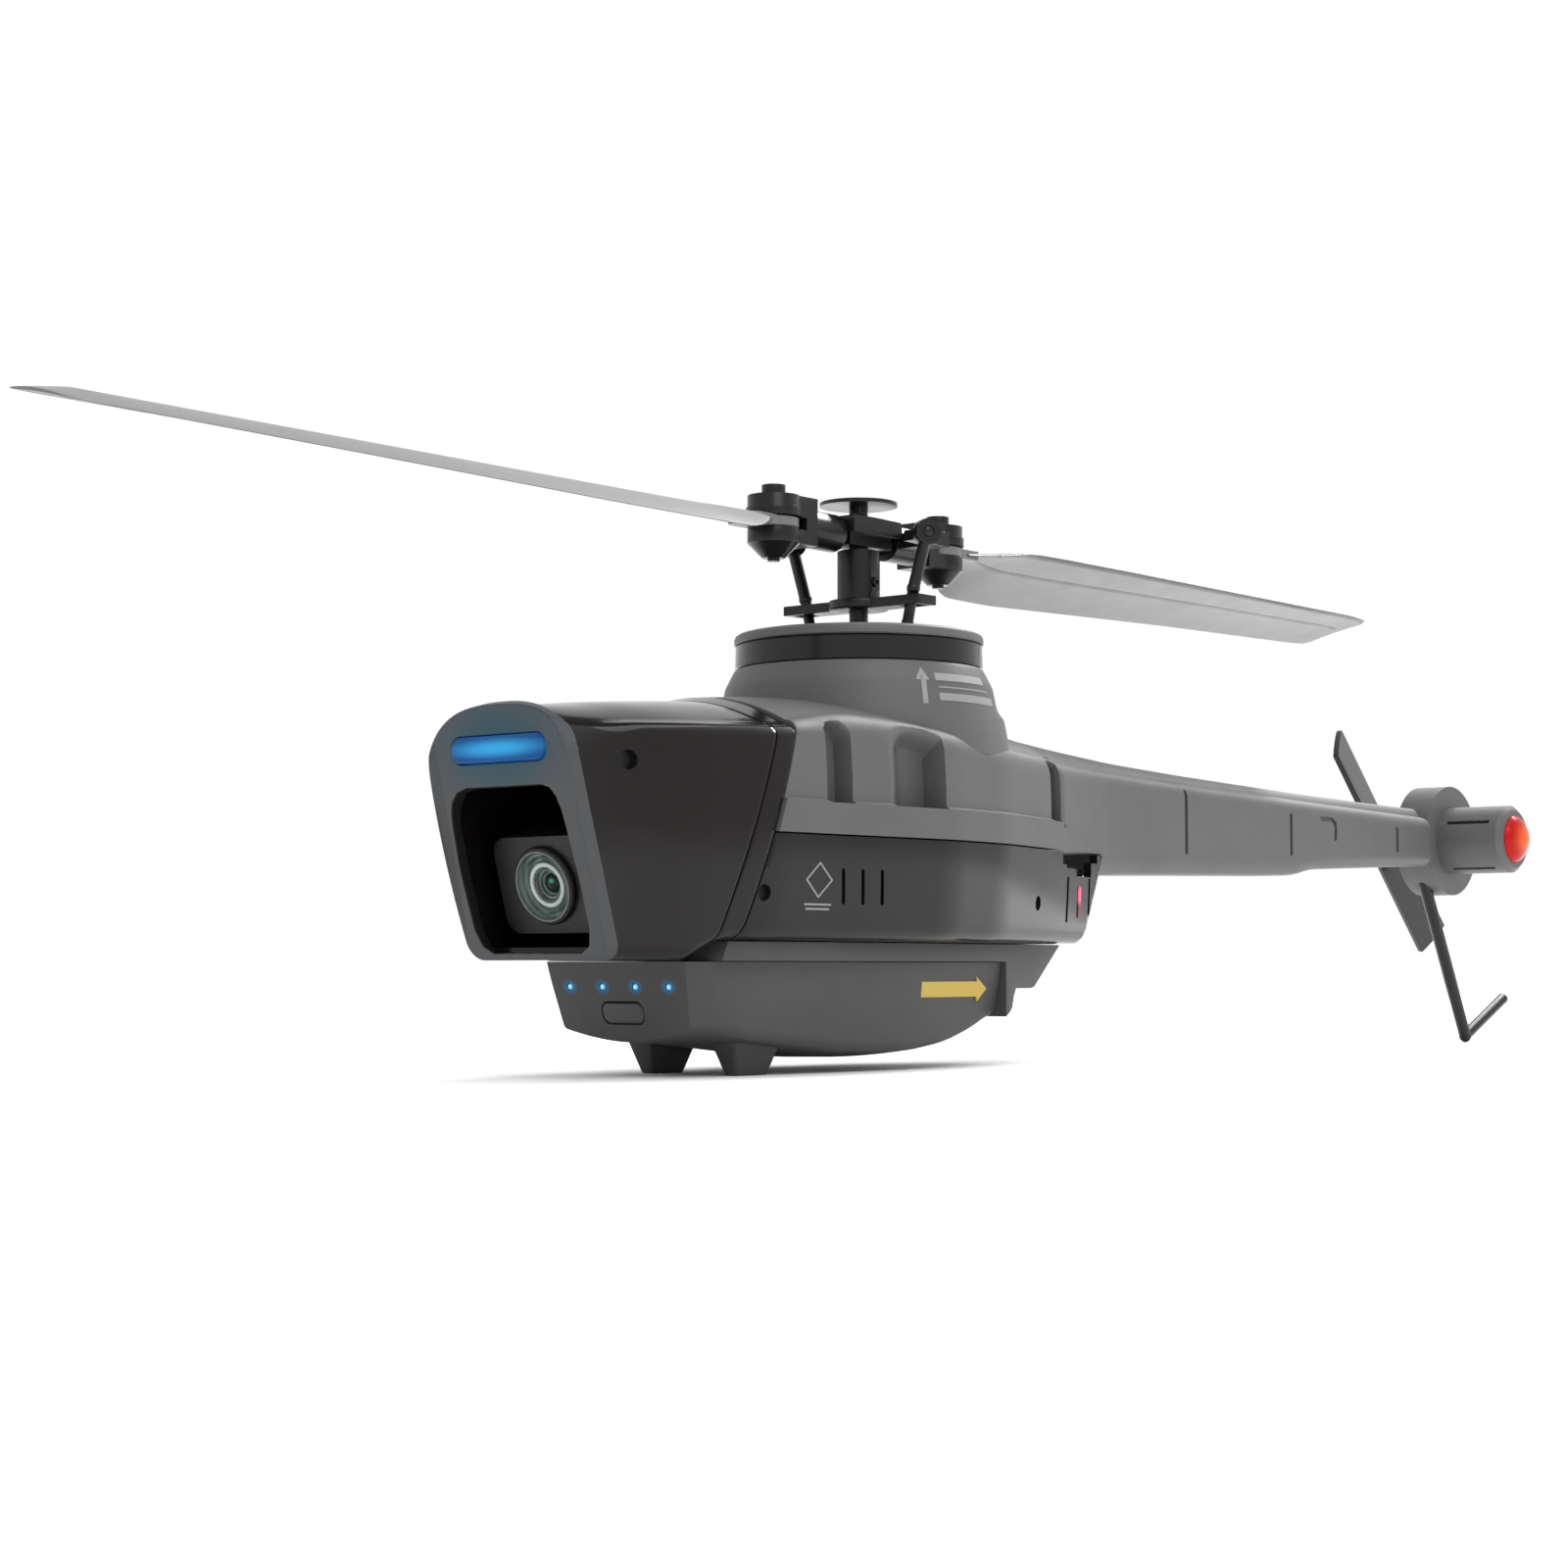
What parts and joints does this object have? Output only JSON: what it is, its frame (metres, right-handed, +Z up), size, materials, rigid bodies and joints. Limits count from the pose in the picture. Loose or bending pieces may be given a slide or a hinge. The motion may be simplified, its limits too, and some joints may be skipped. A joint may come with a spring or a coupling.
{
  "type": "remote control helicopter",
  "caption": "Micro camera helicopter with a two-blade folding rotor, tilting nose camera, slide-in belly battery, tail rotor and skid.",
  "frame": {"origin": "on the floor, at the middle of the whole part's length and width", "axes": "+X to the nose, +Y to port, +Z up; the main shaft stands at X = 28 mm"},
  "size_m": [0.3205, 0.0412, 0.0753],
  "materials": {
    "casing": "fine satin grey",
    "panel": "dark brown-black gloss",
    "bezel": "satin grey",
    "black_gloss": "gloss black",
    "head_black": "satin black nylon",
    "blade": "satin dark plastic",
    "battery": "satin grey",
    "steel": "turned",
    "brass": "turned",
    "gear_nylon": "natural nylon",
    "frame": "satin black",
    "silver": "foil wrapped cell",
    "board": "green laminate",
    "light_blue": "lit blue light guide",
    "lamp_red": "lit red lens",
    "pipe_red": "lit red light pipe",
    "yellow": "printed label",
    "lens": "coated glass",
    "lens_ring": "green-black anodised look",
    "camera_black": "satin black"
  },
  "bodies": {
    "airframe": {"upper_casing": "casing", "side_panel_left": "panel", "side_panel_right": "panel", "tail_boom": "casing", "belly_tray": "casing", "nose_hood": "panel", "hood_collar": "panel", "nose_bezel": "bezel", "front_light_bar": "light_blue", "turret_window": "black_gloss", "turret_ring": "casing", "side_light_pipes": "pipe_red", "casing_screws": "head_black", "tail_housing": "casing", "tail_lamp_lens": "lamp_red", "tail_motor": "steel", "tail_skid": "head_black", "main_frame": "frame", "shaft_bearings": "steel", "main_motor": "steel", "servo_pitch": "frame", "servo_roll": "frame", "circuit_board": "board", "swash_collar": "steel", "camera_bracket": "frame"},
    "rotor": {"main_shaft": "steel", "main_gear": "gear_nylon", "rotor_hub": "head_black", "hub_screw": "head_black", "follower_bar": "head_black", "feathering_spindle": "steel", "head_cap": "head_black"},
    "grip_front": {"grip_front": "head_black", "blade_bolt_front": "head_black"},
    "grip_rear": {"grip_rear": "head_black", "blade_bolt_rear": "head_black"},
    "blade_front": {"blade_front": "blade"},
    "blade_rear": {"blade_rear": "blade"},
    "link_port": {"link_port": "head_black"},
    "link_starboard": {"link_starboard": "head_black"},
    "gimbal": {"swash_gimbal": "steel"},
    "swash_lower": {"swash_lower": "head_black"},
    "swash_upper": {"swash_upper": "steel"},
    "slider_pitch": {"servo_slider_pitch": "gear_nylon"},
    "slider_roll": {"servo_slider_roll": "gear_nylon"},
    "pinion": {"motor_pinion": "brass"},
    "tail_rotor": {"tail_rotor": "head_black", "tail_rotor_shaft": "steel"},
    "camera": {"camera_housing": "camera_black", "lens_barrel": "lens_ring", "lens_glass": "lens"},
    "battery": {"battery_case": "battery", "battery_cell": "silver", "battery_lights": "light_blue", "battery_label": "yellow", "battery_contacts": "brass"},
    "button": {"power_button": "battery"}
  },
  "joints": [
    {"name": "rotor_spin", "type": "hinge", "parent": "airframe", "child": "rotor", "pos_m": [0.028, 0, 0.06], "axis": [0, 0, 1], "continuous": true},
    {"name": "pinion_spin", "type": "hinge", "parent": "airframe", "child": "pinion", "pos_m": [0.013, 0, 0.028], "axis": [0, 0, 1], "continuous": true},
    {"name": "grip_front_feather", "type": "hinge", "parent": "rotor", "child": "grip_front", "pos_m": [0.036, 0, 0.0704], "axis": [1, 0, 0], "range_deg": [-4, 4]},
    {"name": "grip_rear_feather", "type": "hinge", "parent": "rotor", "child": "grip_rear", "pos_m": [0.02, 0, 0.0704], "axis": [1, 0, 0], "range_deg": [-4, 4]},
    {"name": "blade_front_fold", "type": "hinge", "parent": "grip_front", "child": "blade_front", "pos_m": [0.0456, 0, 0.0704], "axis": [0, 0, 1], "range_deg": [-60, 60]},
    {"name": "blade_rear_fold", "type": "hinge", "parent": "grip_rear", "child": "blade_rear", "pos_m": [0.0104, 0, 0.0704], "axis": [0, 0, 1], "range_deg": [-60, 60]},
    {"name": "link_port_slide", "type": "slide", "parent": "rotor", "child": "link_port", "axis": [0, 0, 1], "range_m": [-0.0008, 0.0008]},
    {"name": "link_starboard_slide", "type": "slide", "parent": "rotor", "child": "link_starboard", "axis": [0, 0, 1], "range_m": [-0.0008, 0.0008]},
    {"name": "swash_roll", "type": "hinge", "parent": "airframe", "child": "gimbal", "pos_m": [0.028, 0, 0.0516], "axis": [1, 0, 0], "range_deg": [-6, 6]},
    {"name": "swash_pitch", "type": "hinge", "parent": "gimbal", "child": "swash_lower", "pos_m": [0.028, 0, 0.0516], "axis": [0, 1, 0], "range_deg": [-6, 6]},
    {"name": "swash_spin", "type": "hinge", "parent": "swash_lower", "child": "swash_upper", "pos_m": [0.028, 0, 0.053], "axis": [0, 0, 1], "continuous": true},
    {"name": "servo_pitch_travel", "type": "slide", "parent": "airframe", "child": "slider_pitch", "axis": [0, 0, 1], "range_m": [-0.00105, 0.00105]},
    {"name": "servo_roll_travel", "type": "slide", "parent": "airframe", "child": "slider_roll", "axis": [0, 0, 1], "range_m": [-0.00105, 0.00105]},
    {"name": "tail_rotor_spin", "type": "hinge", "parent": "airframe", "child": "tail_rotor", "pos_m": [-0.135, -0.01, 0.0353], "axis": [0, 1, 0], "continuous": true},
    {"name": "camera_tilt", "type": "hinge", "parent": "airframe", "child": "camera", "pos_m": [0.0805, 0, 0.0246], "axis": [0, 1, 0], "range_deg": [-30, 20]},
    {"name": "battery_slide", "type": "slide", "parent": "airframe", "child": "battery", "axis": [1, 0, 0], "range_m": [0, 0.032]},
    {"name": "power_button_press", "type": "slide", "parent": "battery", "child": "button", "axis": [-1, 0, 0], "range_m": [0, 0.0005], "stiffness_N_per_m": 400}
  ],
  "couplings": [
    {"joint": "pinion_spin", "follows": "rotor_spin", "ratio": -4},
    {"joint": "swash_spin", "follows": "rotor_spin", "ratio": 1},
    {"joint": "grip_front_feather", "follows": "swash_roll", "ratio": 0.61905},
    {"joint": "grip_rear_feather", "follows": "swash_roll", "ratio": 0.61905},
    {"joint": "link_port_slide", "follows": "swash_roll", "m_per_rad": 0.0065},
    {"joint": "link_starboard_slide", "follows": "swash_roll", "m_per_rad": -0.0065},
    {"joint": "servo_roll_travel", "follows": "swash_roll", "m_per_rad": 0.0092},
    {"joint": "servo_pitch_travel", "follows": "swash_pitch", "m_per_rad": -0.0092}
  ]
}
